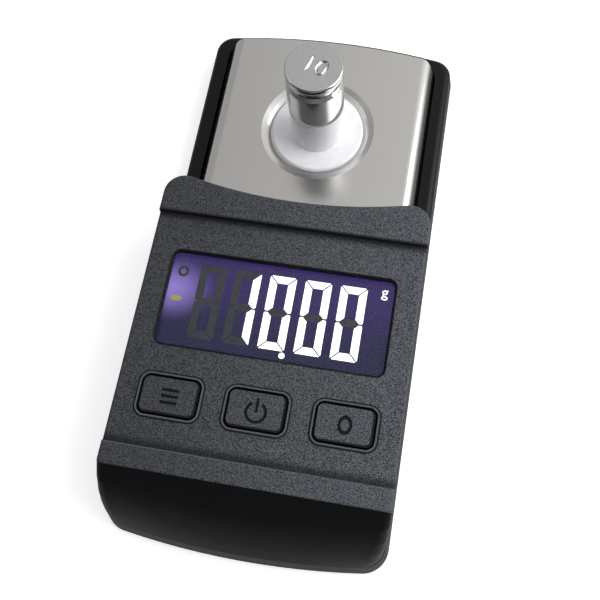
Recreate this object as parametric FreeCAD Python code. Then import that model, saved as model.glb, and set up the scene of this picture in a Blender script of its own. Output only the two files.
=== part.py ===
"""Stylus force gauge: a pocket gauge with a display, three keys and a steel tray.

The origin is at the middle of the footprint, on the surface that the gauge stands on.
X runs across the gauge, Y runs from its rounded front to the tray, Z is up.
All sizes are in millimetres.
"""
import FreeCAD, Part
import math
import os

V = FreeCAD.Vector

# Cells and the space around them
cell_length = 44.5
cell_radius = 5.25
cell_nub_length = 0.8
cell_nub_radius = 1.9
cell_gap = 0.3
cell_floor_gap = 0.05
contact_reach = 0.95
contact_sheet = 0.3
contact_rib = 1.1
contact_half_width = 5.0
contact_tab = 2.0
contact_button = 2.0
contact_drop = 4.1
leaf_width = 4.0
leaf_foot = 3.4
leaf_touch = 0.8
contact_rib_half = 3.0

# Housings
length = 114.2
foot_stand = 0.8
floor_thickness = 1.5
base_wall = 1.6
cover_wall = 1.8
flare = 0.8
flare_height = 1.6
bottom_roll = 0.8
rim_height = 6.9
cover_step = 0.15
head_rise = 1.1
front_band_rise = 0.6
front_arc_radius = 160.0
band_straightness = 0.95
far_arc_radius = 140.0
front_corner = 5.0
far_corner = 4.5
band_corner = 1.2
inner_corner = 1.5
edge_round = 0.7
lip_width = 0.7
lip_height = 0.8
lip_gap = 0.15

# Lines along the gauge, from the front towards the tray
apron_length = 11.6
apron_radius = 24.0
apron_steps = 5
front_band_width = 3.9
band_to_keys = 9.5
keys_to_window = 18.9
window_to_head = 16.8
head_band_width = 5.5
pedestal_to_tray_end = 22.0
keys_to_far_cell = 1.5
shoulder_radius = 4.0
shoulder_setback = 1.5

# Board and display
board_thickness = 1.2
board_side_gap = 0.85
board_front_overlap = 2.6
board_far_reach = 1.9
cell_to_board = 0.35
backlight_thickness = 1.3
display_thickness = 1.4
display_gap = 0.1
window_length = 18.3
window_margin = 3.15
window_corner = 1.2
window_step = 1.1
window_thickness = 0.9
window_bevel = 0.4
window_play = 0.1
display_margin = 1.2
contact_ledge = 2.4
strip_end_gap = 1.0
strip_side_gap = 0.3
display_frame_wall = 0.7
frame_play = 0.1

# Chips under the board
controller_size = 10.0
controller_x = -8.0
converter_width = 6.0
converter_length = 5.0
converter_x = 8.0
converter_ahead = 6.0
chip_height = 1.4
chip_corner = 0.4
crystal_radius = 1.0
crystal_length = 6.0
crystal_x = 3.0
crystal_behind = 4.0

# Keys and their switches
key_pitch = 15.87
key_width = 10.5
key_length = 6.9
key_corner = 1.3
key_gap = 0.3
key_ring_width = 0.3
key_ring_rise = 0.25
key_proud = 0.15
key_flange = 0.9
key_travel = 0.3
switch_size = 6.0
switch_height = 1.5
switch_corner = 0.4
plunger_radius = 1.5
plunger_rise = 0.4
plunger_depth = 0.5
running_gap = 0.1

# Load cell, tray support, tray
beam_length = 37.5
beam_width = 9.0
beam_height = 4.0
beam_seat = 0.6
beam_bore = 1.5
beam_slot = 1.4
beam_bore_spacing = 12.0
beam_end = 5.2
beam_screw_spacing = 5.0
beam_stop_gap = 0.35
gauge_thickness = 0.1
gauge_width = 4.0
gauge_length = 5.0
ribbon_width = 4.4
ribbon_thickness = 0.8
ribbon_bend = 3.0
ribbon_setback = 2.6
support_clearance = 0.6
support_thickness = 1.1
support_side_inset = 5.3
support_front_inset = 3.0
support_far_inset = 5.9
support_corner = 2.0
support_hole_gap = 0.5
support_block = 4.1
pad_thickness = 0.3
pad_size = 3.4
pad_inset = 2.7
tray_sheet = 0.5
tray_depth = 2.8
tray_slope = 60.0
tray_bend = 2.2
tray_corner = 3.5
tray_gap = 0.4
tray_under_head = 3.3
tray_clearance = 0.5
rim_width = 3.0
rim_far_width = 2.2
rim_thickness = 1.4
rim_round = 1.5

# Pedestal and weight
dish_radius = 12.0
dish_step_radius = 10.9
dish_step_depth = 0.35
dish_floor_radius = 10.0
dish_depth = 1.1
dish_flank_share = 0.4
disc_radius = 9.7
disc_thickness = 0.75
post_radius = 5.4
post_height = 9.4
spigot_radius = 3.5
spigot_length = 0.8
spigot_gap = 0.1
tip_seat_radius = 0.6
disc_edge = 0.3
post_edge = 0.4
weight_radius = 5.7
weight_height = 13.0
weight_flange = 1.3
weight_groove = 2.6
weight_groove_depth = 0.6
weight_chamfer = 0.6
weight_edge = 0.25

# Fasteners and feet
screw_radius = 0.9
screw_head_radius = 1.6
screw_reach = 2.2
screw_head_height = 1.0
screw_gap = 0.1
screw_tip_gap = 0.5
beam_screw_cover = 1.0
board_screw_reach = 2.0
boss_radius = 1.9
boss_side_gap = 0.4
boss_tray_gap = 0.7
front_boss_x = 10.5
door_screw_gap = 0.25
board_screw_radius = 0.8
board_screw_head = 1.4
board_boss_radius = 1.5
board_boss_inset = 7.5
boss_root = 0.2
foot_radius = 1.9
foot_pocket = 0.5
foot_side_inset = 8.5
foot_front_inset = 3.9
foot_far_inset = 7.7

# Battery door
bay_margin = 0.4
bay_rib = 1.0
door_gap = 0.2
door_lip = 0.6
door_lip_thickness = 0.7
finger_groove_radius = 5.0
finger_groove_depth = 0.5
finger_groove_inset = 3.0
finger_groove_length = 8.0

# Heights that follow
floor_top = foot_stand + floor_thickness
cell_axis_z = floor_top + cell_floor_gap + cell_radius
board_bottom = cell_axis_z + cell_radius + cell_to_board
board_top = board_bottom + board_thickness
backlight_top = board_top + backlight_thickness
display_top = backlight_top + display_thickness
cover_underside = display_top + display_gap
panel_height = cover_underside + cover_wall
head_height = panel_height + head_rise
band_height = panel_height + front_band_rise
flare_z = foot_stand + flare_height
beam_bottom = floor_top + beam_seat
beam_top = beam_bottom + beam_height
support_bottom = beam_top + support_clearance
support_top = support_bottom + support_thickness
tray_underside = support_top + pad_thickness
tray_top = tray_underside + tray_sheet
dish_floor_z = tray_top - dish_depth
disc_top = dish_floor_z + disc_thickness
post_top = disc_top + post_height
boss_joint_height = rim_height + lip_height
flange_bottom = board_top + switch_height + plunger_rise

# Widths that follow
half_width = cell_length / 2 + contact_reach + contact_sheet + contact_rib + base_wall + flare
rim_half = half_width - flare
cover_half = rim_half - cover_step
cover_inner_half = cover_half - cover_wall
base_inner_half = rim_half - base_wall
wall_inset = flare + base_wall
well_half = rim_half - rim_width
tray_half = well_half - tray_gap
window_half = cover_inner_half - window_margin
display_half = window_half + display_margin
board_half = cover_inner_half - board_side_gap

# Places along Y that follow
front = -length / 2
far = length / 2
rim_front = front + flare
rim_far = far - flare
y_band_front = front + apron_length
y_band_back = y_band_front + front_band_width
y_keys = y_band_back + band_to_keys
y_window = y_keys + keys_to_window
y_head_step = y_window + window_to_head
y_head = y_head_step + head_band_width
y_far_cell = y_keys - keys_to_far_cell
y_near_cell = y_far_cell - 2 * cell_radius - cell_gap
y_tray_front = y_head - tray_under_head
y_tray_far = rim_far - rim_far_width - tray_gap
y_pedestal = y_tray_far - pedestal_to_tray_end
y_beam_end = y_tray_far - support_far_inset
y_beam = y_beam_end - beam_length
y_display_far = y_window + window_length / 2 + contact_ledge
y_display_front = y_window - window_length / 2 - display_margin
frame_edge = frame_play + display_frame_wall
y_board_boss_front = y_display_front - frame_edge - running_gap - board_boss_radius
y_board_boss_far = y_display_far + frame_edge + running_gap + board_boss_radius
y_board_far = y_board_boss_far + board_far_reach
y_board_front = y_near_cell + board_front_overlap


def box(x0, x1, y0, y1, z0, z1):
    return Part.makeBox(x1 - x0, y1 - y0, z1 - z0, V(x0, y0, z0))


def rod(radius, z0, z1, x=0.0, y=0.0):
    return Part.makeCylinder(radius, z1 - z0, V(x, y, z0))


def join(shapes):
    first, *rest = shapes
    return first.multiFuse(rest).removeSplitter()


def slab(width, depth, corner, z0, z1, x=0.0, y=0.0):
    """Upright block with rounded corners."""
    block = box(x - width / 2, x + width / 2, y - depth / 2, y + depth / 2, z0, z1)
    upright = [e for e in block.Edges if abs(e.tangentAt(e.FirstParameter).z) > 0.9]
    return block.makeFillet(corner, upright)


def spin(points, x=0.0, y=0.0):
    """Solid of revolution about a vertical axis, from (radius, height) points."""
    face = polygon_face([V(x + r, y, z) for r, z in points])
    return face.revolve(V(x, y, 0), V(0, 0, 1), 360)


def corner_arc(half, radius, arc_radius, y_end, side):
    """Corner circle that touches the side wall and the bowed end; side is +1 far, -1 front."""
    arc_centre = y_end - side * arc_radius
    cx = half - radius
    cy = arc_centre + side * math.sqrt((arc_radius - radius) ** 2 - cx ** 2)
    reach = arc_radius / (arc_radius - radius)
    touch = (cx * reach, arc_centre + (cy - arc_centre) * reach)
    angle = math.atan2(touch[1] - cy, touch[0] - cx) / 2
    middle = (cx + radius * math.cos(angle), cy + radius * math.sin(angle))
    return touch, middle, (half, cy)


def arc(a, b, c):
    return Part.Arc(a, b, c).toShape()


def line(a, b):
    return Part.LineSegment(a, b).toShape()


def mirrored(point, z):
    return V(-point[0], point[1], z)


def end_edges(half, corner, arc_radius, y_end, side, z):
    """Corner, bowed end and corner, from the right wall to the left wall, and the walls' end."""
    touch, middle, wall = corner_arc(half, corner, arc_radius, y_end, side)
    right = arc(V(*wall, z), V(*middle, z), V(*touch, z))
    bow = arc(V(*touch, z), V(0, y_end, z), mirrored(touch, z))
    left = arc(mirrored(touch, z), mirrored(middle, z), mirrored(wall, z))
    return [right, bow, left], wall[1]


def head_edges(half, y_edge, z):
    """Shoulder, hollow edge and shoulder of the cover, from the right wall to the left wall."""
    cx, cy = half - shoulder_radius, y_edge - shoulder_setback
    rise = shoulder_setback
    hollow = (cx ** 2 + rise ** 2 - shoulder_radius ** 2) / (2 * (shoulder_radius - rise))
    share = shoulder_radius / (hollow + shoulder_radius)
    touch = (cx * (1 - share), cy + (y_edge + hollow - cy) * share)
    angle = math.atan2(touch[1] - cy, touch[0] - cx) / 2
    middle = (cx + shoulder_radius * math.cos(angle), cy + shoulder_radius * math.sin(angle))
    right = arc(V(half, cy, z), V(*middle, z), V(*touch, z))
    bow = arc(V(*touch, z), V(0, y_edge, z), mirrored(touch, z))
    left = arc(mirrored(touch, z), mirrored(middle, z), V(-half, cy, z))
    return [right, bow, left], cy


def closed_outline(half, far_part, y_far_wall, front_part, y_front_wall, z):
    """Far edges, left wall, front edges from left to right, right wall."""
    left = line(V(-half, y_far_wall, z), V(-half, y_front_wall, z))
    right = line(V(half, y_front_wall, z), V(half, y_far_wall, z))
    return Part.Wire(far_part + [left] + front_part[::-1] + [right])


def cut_outline(half, end_part, y_wall, y_cut, z):
    """Plan with one shaped end; the other end is a straight cut across."""
    left = line(V(-half, y_wall, z), V(-half, y_cut, z))
    across = line(V(-half, y_cut, z), V(half, y_cut, z))
    right = line(V(half, y_cut, z), V(half, y_wall, z))
    return Part.Wire(end_part + [left, across, right])


def bowed_plan(half, y_front, y_far, near_corner, distant_corner, z):
    """Plan with two bowed ends and round corners."""
    far_part, y1 = end_edges(half, distant_corner, far_arc_radius, y_far, 1, z)
    front_part, y0 = end_edges(half, near_corner, front_arc_radius, y_front, -1, z)
    return closed_outline(half, far_part, y1, front_part, y0, z)


def pan_outline(inset, z):
    """Plan of the base at a distance inside its widest line; its arcs keep their centres."""
    outline = bowed_plan(half_width, front, far, front_corner, far_corner, z)
    return outline.makeOffset2D(-inset) if inset else outline


def swept(outline, section):
    """Ring with one cross-section along a convex plan: walls are drawn out, bends are turned."""
    middle = outline.BoundBox.Center
    parts = []
    for edge in outline.Edges:
        start = edge.valueAt(edge.FirstParameter)
        ahead = edge.tangentAt(edge.FirstParameter)
        inward = V(-ahead.y, ahead.x, 0)
        if inward.dot(middle - start) < 0:
            inward = inward * -1
        face = section(lambda inset, z: V(start.x, start.y, z) + inward * inset)
        if edge.Curve.TypeId == "Part::GeomCircle":
            arm = start - edge.Curve.Center
            turn = math.degrees(edge.Length / edge.Curve.Radius)
            parts.append(face.revolve(edge.Curve.Center, arm.cross(ahead), turn))
        else:
            parts.append(face.extrude(ahead * edge.Length))
    return join(parts)


def polygon_face(points):
    return Part.Face(Part.makePolygon(points + points[:1]))


def prism(outline, height):
    return Part.Face(outline).extrude(V(0, 0, height))


def loft(outlines):
    return Part.makeLoft(outlines, True, True)


def slice_y(shape, y0, y1):
    return shape.common(box(-length, length, y0, y1, 0, length))


def apron_circle():
    """Centre of the apron's arc, from the front band's edge down to the rim, as (y, z)."""
    dy = y_band_front - rim_front
    dz = band_height - rim_height
    chord = math.hypot(dy, dz)
    reach = math.sqrt(apron_radius ** 2 - (chord / 2) ** 2)
    middle_y = (y_band_front + rim_front) / 2
    middle_z = (band_height + rim_height) / 2
    return middle_y + reach * dz / chord, middle_z - reach * dy / chord


def apron_y(z, inset=0.0):
    cy, cz = apron_circle()
    return cy - math.sqrt((apron_radius - inset) ** 2 - (z - cz) ** 2)


def front_section(z, inset=0.0):
    """Plan of the cover's front at a height: bowed at the rim, nearly straight at the band."""
    share = max(z - rim_height, 0.0) / (band_height - rim_height)
    bow = front_arc_radius / (1 - band_straightness * share)
    start = front_corner - flare
    corner = inner_corner if inset else start + (band_corner - start) * share
    half = cover_half - inset
    front_part, y_wall = end_edges(half, corner, bow, apron_y(z, inset), -1, z)
    return cut_outline(half, front_part, y_wall, y_band_back, z)


def rear_plan(z, inset=0.0):
    """Plan of the cover behind the front band, up to its shoulders and hollow far edge."""
    half = cover_half - inset
    far_part, y_wall = head_edges(half, y_head - inset, z)
    return cut_outline(half, far_part, y_wall, y_band_back, z)


def heights(low, high, steps):
    return [low + (high - low) * i / steps for i in range(steps + 1)]


def housing_screw_places():
    y_far_boss = y_tray_front - boss_radius - boss_tray_gap
    x_far_boss = cover_inner_half - boss_radius - boss_side_gap
    y_front_boss = bay_edges()[1] - door_lip - door_screw_gap - screw_head_radius - screw_gap
    return [(side * x, y) for x, y in ((x_far_boss, y_far_boss), (front_boss_x, y_front_boss))
            for side in (-1, 1)]


def board_screw_places():
    spots = ((key_pitch / 2, y_board_boss_front), (window_half - board_boss_inset, y_board_boss_far))
    return [(side * x, y) for x, y in spots for side in (-1, 1)]


def beam_screw_places(y):
    return [(side * beam_screw_spacing / 2, y) for side in (-1, 1)]


def foot_places():
    spots = (front + foot_front_inset, far - foot_far_inset)
    return [(side * (half_width - foot_side_inset), y) for y in spots for side in (-1, 1)]


def key_places():
    return {"mode": -key_pitch, "power": 0.0, "tare": key_pitch}


def cell_places():
    """Row of the two cells: their Y, and the end that holds the positive nub."""
    return ((y_near_cell, 1), (y_far_cell, -1))


def tongue_wall(place):
    """Wall section under the cover, with the lip that the cover fits over."""
    tongue = wall_inset - lip_width
    return polygon_face([place(bottom_roll, foot_stand), place(0, flare_z), place(flare, rim_height),
                         place(tongue, rim_height), place(tongue, boss_joint_height),
                         place(wall_inset, boss_joint_height), place(wall_inset, foot_stand)])


def plain_wall(place):
    return polygon_face([place(bottom_roll, foot_stand), place(0, flare_z), place(flare, rim_height),
                         place(wall_inset, rim_height), place(wall_inset, foot_stand)])


def rounded_wall(place):
    """Wall section beside the tray, with a round upper edge."""
    round_z = rim_height - rim_round
    lean = flare * (round_z - flare_z) / (rim_height - flare_z)
    k = rim_round * (1 - math.sqrt(0.5))
    side, middle = place(lean, round_z), place(lean + k, rim_height - k)
    top = place(lean + rim_round, rim_height)
    points = [top, place(wall_inset, rim_height), place(wall_inset, foot_stand),
              place(bottom_roll, foot_stand), place(0, flare_z), side]
    edges = [line(a, b) for a, b in zip(points, points[1:])]
    return Part.Face(Part.Wire(edges + [arc(side, middle, top)]))


def base_shell():
    """Flared pan with its floor, its walls and the flat rim round the tray."""
    outline = pan_outline(0, 0)
    y_tongue = y_head - shoulder_radius
    y_round = y_head + shoulder_radius - shoulder_setback
    walls = [slice_y(swept(outline, tongue_wall), -length, y_tongue),
             slice_y(swept(outline, plain_wall), y_tongue, y_round),
             slice_y(swept(outline, rounded_wall), y_round, length)]
    floor = prism(pan_outline(wall_inset, foot_stand), floor_thickness)
    rim = prism(pan_outline(wall_inset, rim_height - rim_thickness), rim_thickness)
    rim = slice_y(rim, y_tray_front, length).cut(well())
    return join(walls + [floor, rim])


def well():
    """Opening in the rim that the tray moves in."""
    y_end = rim_far - rim_far_width
    far_part, y1 = end_edges(well_half, tray_corner + tray_gap, far_arc_radius, y_end, 1, floor_top)
    front_part, y0 = end_edges(well_half, inner_corner, front_arc_radius, y_window, -1, floor_top)
    return prism(closed_outline(well_half, far_part, y1, front_part, y0, floor_top), length)


def bay_edges():
    half = cell_length / 2 + bay_margin
    return half, y_near_cell - cell_radius - bay_margin, y_far_cell + cell_radius + bay_margin


def bay_ribs():
    """Ribs at both sides of the cells, and the ribs that hold the contacts at their ends."""
    half, y0, y1 = bay_edges()
    ribs = [box(-half, half, y, y + bay_rib, floor_top, cell_axis_z) for y in (y0 - bay_rib, y1)]
    for y, _ in cell_places():
        low, high = y - contact_rib_half, y + contact_rib_half
        for x in (-base_inner_half, base_inner_half - contact_rib):
            ribs.append(box(x, x + contact_rib, low, high, floor_top, cell_axis_z))
    return ribs


def beam_seats():
    """Block that the beam is screwed on, and the stop under its free end."""
    half = beam_width / 2
    stop_top = beam_bottom - beam_stop_gap
    return [box(-half, half, y_beam, y_beam + beam_end, floor_top, beam_bottom),
            box(-half, half, y_beam_end - beam_end, y_beam_end, floor_top, stop_top)]


def make_base_housing():
    bosses = [rod(boss_radius, floor_top, boss_joint_height, x, y) for x, y in housing_screw_places()]
    base = join([base_shell()] + bay_ribs() + beam_seats() + bosses)
    half, y0, y1 = bay_edges()
    ledge_z = floor_top - door_lip_thickness
    base = base.cut(box(-half, half, y0, y1, 0, floor_top))
    base = base.cut(box(-half - door_lip, half + door_lip, y0 - door_lip, y1 + door_lip, 0, ledge_z))
    head_room = foot_stand + screw_head_height + screw_gap
    holes = []
    for x, y in housing_screw_places() + beam_screw_places(y_beam + beam_end / 2):
        holes.append(rod(screw_radius + screw_gap, 0, length, x, y))
        holes.append(rod(screw_head_radius + screw_gap, 0, head_room, x, y))
    for x, y in foot_places():
        holes.append(rod(foot_radius + screw_gap, 0, foot_stand + foot_pocket, x, y))
    return base.cut(Part.makeCompound(holes))


def make_battery_door():
    half, y0, y1 = bay_edges()
    grow = door_lip - door_gap
    ledge_z = floor_top - door_lip_thickness
    plate = box(-half - grow, half + grow, y0 - grow, y1 + grow, foot_stand, ledge_z)
    half_in, y0_in, y1_in = half - door_gap, y0 + door_gap, y1 - door_gap
    plug = box(-half_in, half_in, y0_in, y1_in, foot_stand, floor_top)
    groove_z = foot_stand + finger_groove_depth - finger_groove_radius
    groove_start = V(-finger_groove_length / 2, y1 - finger_groove_inset, groove_z)
    groove = Part.makeCylinder(finger_groove_radius, finger_groove_length, groove_start, V(1, 0, 0))
    return join([plate, plug]).cut(groove)


def make_rubber_feet():
    return Part.makeCompound([rod(foot_radius, 0, foot_stand + foot_pocket, x, y) for x, y in foot_places()])


def cover_front():
    """Bowed apron with its round corners, up to the front band."""
    body = loft([front_section(z) for z in heights(rim_height, band_height, apron_steps)])
    return body.makeFillet(edge_round, outer_edges(body, band_height))


def cover_rear():
    """Upright body with the sunk panel and the raised head band."""
    body = prism(rear_plan(rim_height), head_height - rim_height)
    body = body.cut(box(-length, length, y_band_back, y_head_step, panel_height, length))
    for z in (head_height, panel_height):
        body = body.makeFillet(edge_round, outer_edges(body, z))
    return body


def cover_hollow():
    low = rim_height - lip_height
    ahead = loft([front_section(z, cover_wall) for z in heights(low, cover_underside, apron_steps)])
    return join([ahead, prism(rear_plan(low, cover_wall), cover_underside - low)])


def outer_edges(shape, z):
    """Level edges at a height along the cover's sides and its hollow far side."""
    found = []
    for edge in shape.Edges:
        centre = edge.CenterOfMass
        level = abs(centre.z - z) < 0.01 and edge.BoundBox.ZLength < 0.01
        if level and (abs(centre.x) > window_half or centre.y > y_head_step + running_gap):
            found.append(edge)
    return found


def cover_shell(form):
    """Moulded shell, with the rebate over the base's lip and the slot that the tray runs under."""
    rebate = prism(pan_outline(wall_inset - lip_width - lip_gap, 0), boss_joint_height + lip_gap)
    shell = form.cut(cover_hollow()).cut(slice_y(rebate, -length, y_head - shoulder_radius + lip_gap))
    slot_top = tray_top + tray_clearance
    return shell.cut(box(-well_half, well_half, y_head - 2 * cover_wall, length, 0, slot_top))


def key_openings(ring, z0, z1):
    """Blocks at the three keys; ring is the width of the raised ring round the opening."""
    width = key_width + 2 * (key_gap + ring)
    depth = key_length + 2 * (key_gap + ring)
    return [slab(width, depth, key_corner + key_gap + ring, z0, z1, x, y_keys) for x in key_places().values()]


def cover_bosses(form):
    """Posts under the cover for the housing's and the board's screws, kept inside its outer form."""
    top = cover_underside + boss_root
    posts = [rod(boss_radius, boss_joint_height, top, x, y) for x, y in housing_screw_places()]
    posts += [rod(board_boss_radius, board_top, top, x, y) for x, y in board_screw_places()]
    return [post.common(form) for post in posts]


def cover_screw_holes():
    reach = boss_joint_height + screw_reach + screw_tip_gap
    holes = [rod(screw_radius + screw_gap, 0, reach, x, y) for x, y in housing_screw_places()]
    for x, y in board_screw_places():
        holes.append(rod(board_screw_radius + running_gap, 0, cover_underside, x, y))
    return holes


def make_top_cover():
    form = join([cover_front(), cover_rear()])
    rings = key_openings(key_ring_width, panel_height - boss_root, panel_height + key_ring_rise)
    cover = join([cover_shell(form)] + cover_bosses(form) + rings)
    for shape in key_openings(0, cover_underside - boss_root, length) + cover_screw_holes() + window_cuts():
        cover = cover.cut(shape)
    return cover


def window_cuts():
    """Opening with a bevelled mouth, and the pocket that takes the window from below."""
    width = 2 * window_half
    opening = slab(width, window_length, window_corner, cover_underside, length, 0, y_window)
    mouth = slab(width + 2 * window_bevel, window_length + 2 * window_bevel, window_corner + window_bevel,
                 panel_height - window_bevel, length, 0, y_window)
    rim = [e for e in mouth.Edges if e.BoundBox.ZMax < panel_height]
    seat_half = window_half + window_step
    seat_y = window_length / 2 + window_step
    seat_z = cover_underside + window_thickness
    pocket = box(-seat_half, seat_half, y_window - seat_y, y_window + seat_y, 0, seat_z)
    return [opening, mouth.makeChamfer(window_bevel, rim), pocket]


def make_display_window():
    half = window_half + window_step - window_play
    half_y = window_length / 2 + window_step - window_play
    top = cover_underside + window_thickness
    return box(-half, half, y_window - half_y, y_window + half_y, cover_underside, top)


def make_lcd_panel():
    """Lower glass with its contact ledge, and the upper glass on it."""
    half = display_half
    middle = backlight_top + display_thickness / 2
    lower = box(-half, half, y_display_front, y_display_far, backlight_top, middle)
    upper = box(-half, half, y_display_front, y_display_far - contact_ledge, middle, display_top)
    return join([lower, upper])


def make_lcd_backlight():
    y_end = y_display_far - contact_ledge - running_gap
    return box(-display_half, display_half, y_display_front, y_end, board_top, backlight_top)


def make_lcd_contact_strip():
    half = display_half - strip_end_gap
    y0, y1 = y_display_far - contact_ledge + strip_side_gap, y_display_far - strip_side_gap
    return box(-half, half, y0, y1, board_top, backlight_top)


def make_lcd_frame():
    half = display_half + frame_play
    wall = display_frame_wall
    y0, y1 = y_display_front - frame_play, y_display_far + frame_play
    outer = box(-half - wall, half + wall, y0 - wall, y1 + wall, board_top, display_top)
    return outer.cut(box(-half, half, y0, y1, 0, length))


def make_circuit_board():
    board = box(-board_half, board_half, y_board_front, y_board_far, board_bottom, board_top)
    (x_boss, y_boss), *_ = [(x, y) for x, y in housing_screw_places() if x > 0]
    x_notch = x_boss - boss_radius - 2 * boss_side_gap
    y_notch = y_boss - boss_radius - boss_side_gap
    for side in (-1, 1):
        low, high = sorted((side * x_notch, side * length))
        board = board.cut(box(low, high, y_notch, length, 0, length))
    for x, y in board_screw_places():
        board = board.cut(rod(board_screw_radius + running_gap, 0, length, x, y))
    return board


def make_board_chips():
    """Controller, signal converter and clock crystal under the board."""
    z0 = board_bottom - chip_height
    controller = slab(controller_size, controller_size, chip_corner, z0, board_bottom, controller_x, y_window)
    converter = slab(converter_width, converter_length, chip_corner, z0, board_bottom,
                     converter_x, y_window + converter_ahead)
    crystal_start = V(crystal_x, y_window - crystal_behind, board_bottom - crystal_radius)
    crystal = Part.makeCylinder(crystal_radius, crystal_length, crystal_start, V(0, 1, 0))
    return Part.makeCompound([controller, converter, crystal])


def make_key(x):
    """Key cap that comes up through its ring, with the flange that keeps it in."""
    cap = slab(key_width, key_length, key_corner, flange_bottom, panel_height + key_proud, x, y_keys)
    flange = slab(key_width + 2 * key_flange, key_length + 2 * key_flange, key_corner,
                  flange_bottom, cover_underside - running_gap, x, y_keys)
    top_edges = [e for e in cap.Edges if e.BoundBox.ZMin > panel_height]
    return join([cap.makeChamfer(key_proud, top_edges), flange])


def make_switch(x):
    top = board_top + switch_height
    body = slab(switch_size, switch_size, switch_corner, board_top, top, x, y_keys)
    bore_z = top - plunger_depth - key_travel - running_gap
    return body.cut(rod(plunger_radius + running_gap, bore_z, length, x, y_keys))


def make_plunger(x):
    return rod(plunger_radius, board_top + switch_height - plunger_depth, flange_bottom, x, y_keys)


def make_battery_cells():
    cells = []
    for y, end in cell_places():
        start, way = V(-end * cell_length / 2, y, cell_axis_z), V(end, 0, 0)
        can = Part.makeCylinder(cell_radius, cell_length - cell_nub_length, start, way)
        nub = Part.makeCylinder(cell_nub_radius, cell_length, start, way)
        cells.append(join([can, nub]))
    return Part.makeCompound(cells)


def contact_plate(side, y0, y1):
    inner = cell_length / 2 + contact_reach
    x0, x1 = sorted((side * inner, side * (inner + contact_sheet)))
    return box(x0, x1, y0, y1, cell_axis_z - contact_drop, cell_axis_z + contact_drop)


def contact_face(side, y, positive):
    """Pressed button for the nub, or bent leaf for the cell's flat end."""
    inner = cell_length / 2
    if positive:
        return Part.makeCylinder(contact_button, contact_reach + contact_sheet / 2,
                                 V(side * inner, y, cell_axis_z), V(side, 0, 0))
    outer = inner + contact_reach + contact_sheet / 2
    sheet = contact_sheet
    upper = [(outer, leaf_foot), (inner, leaf_touch)]
    lower = [(inner + sheet, leaf_touch - sheet), (outer, leaf_foot - 1.5 * sheet)]
    outline = upper + [(x, -z) for x, z in upper[::-1] + lower[::-1]] + lower
    points = [V(side * x, y - leaf_width / 2, cell_axis_z + z) for x, z in outline]
    return polygon_face(points).extrude(V(0, leaf_width, 0))


def make_link_contact():
    """Left plate that joins the near cell's flat end to the far cell's nub."""
    plate = contact_plate(-1, y_near_cell - contact_half_width, y_far_cell + contact_half_width)
    return join([plate] + [contact_face(-1, y, end < 0) for y, end in cell_places()])


def make_end_contacts():
    """Right plates, each with a tab bent under the board's edge."""
    contacts = []
    outer = cell_length / 2 + contact_reach + contact_sheet
    for y, end in cell_places():
        plate = contact_plate(1, y - contact_half_width, y + contact_half_width)
        y0, y1 = y + contact_half_width - contact_tab, y + contact_half_width
        riser = box(outer - contact_sheet, outer, y0, y1, cell_axis_z, board_bottom)
        foot = box(outer - contact_tab, outer, y0, y1, board_bottom - contact_sheet, board_bottom)
        contacts.append(join([plate, riser, foot, contact_face(1, y, end > 0)]))
    return Part.makeCompound(contacts)


def screw(x, y, z_head, reach, up=1, radius=screw_radius, head=screw_head_radius):
    """Screw with a flat head; up is +1 when the shank points up from the head."""
    top = screw_head_height
    points = [(0, 0), (head, 0), (head, top), (radius, top), (radius, top + reach), (0, top + reach)]
    return spin([(r, z_head + up * z) for r, z in points], x, y)


def make_housing_screws():
    z_head = foot_stand + screw_gap
    reach = boss_joint_height - z_head - screw_head_height + screw_reach
    return Part.makeCompound([screw(x, y, z_head, reach) for x, y in housing_screw_places()])


def make_board_screws():
    z_head = board_bottom - screw_head_height
    reach = board_thickness + board_screw_reach
    return Part.makeCompound([screw(x, y, z_head, reach, 1, board_screw_radius, board_screw_head)
                              for x, y in board_screw_places()])


def make_load_cell_screws():
    z_head = foot_stand + screw_gap
    reach = beam_top - beam_screw_cover - z_head - screw_head_height
    spots = beam_screw_places(y_beam + beam_end / 2)
    return Part.makeCompound([screw(x, y, z_head, reach) for x, y in spots])


def make_load_cell():
    """Aluminium beam; two bores joined by a slot leave four thin flexures."""
    half = beam_width / 2
    beam = box(-half, half, y_beam, y_beam_end, beam_bottom, beam_top)
    middle_y, middle_z = (y_beam + y_beam_end) / 2, (beam_bottom + beam_top) / 2
    for side in (-1, 1):
        y = middle_y + side * beam_bore_spacing / 2
        beam = beam.cut(Part.makeCylinder(beam_bore, beam_width, V(-half, y, middle_z), V(1, 0, 0)))
    beam = beam.cut(box(-half, half, middle_y - beam_bore_spacing / 2, middle_y + beam_bore_spacing / 2,
                        middle_z - beam_slot / 2, middle_z + beam_slot / 2))
    for y in (y_beam + beam_end / 2, y_beam_end - beam_end / 2):
        for x, y_hole in beam_screw_places(y):
            beam = beam.cut(rod(screw_radius + screw_gap, 0, length, x, y_hole))
    return beam


def make_strain_gauges():
    half, half_y = gauge_width / 2, gauge_length / 2
    middle = (y_beam + y_beam_end) / 2
    foils = []
    for y in (middle - beam_bore_spacing / 2, middle + beam_bore_spacing / 2):
        for z in (beam_bottom - gauge_thickness, beam_top):
            foils.append(box(-half, half, y - half_y, y + half_y, z, z + gauge_thickness))
    return Part.makeCompound(foils)


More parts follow.
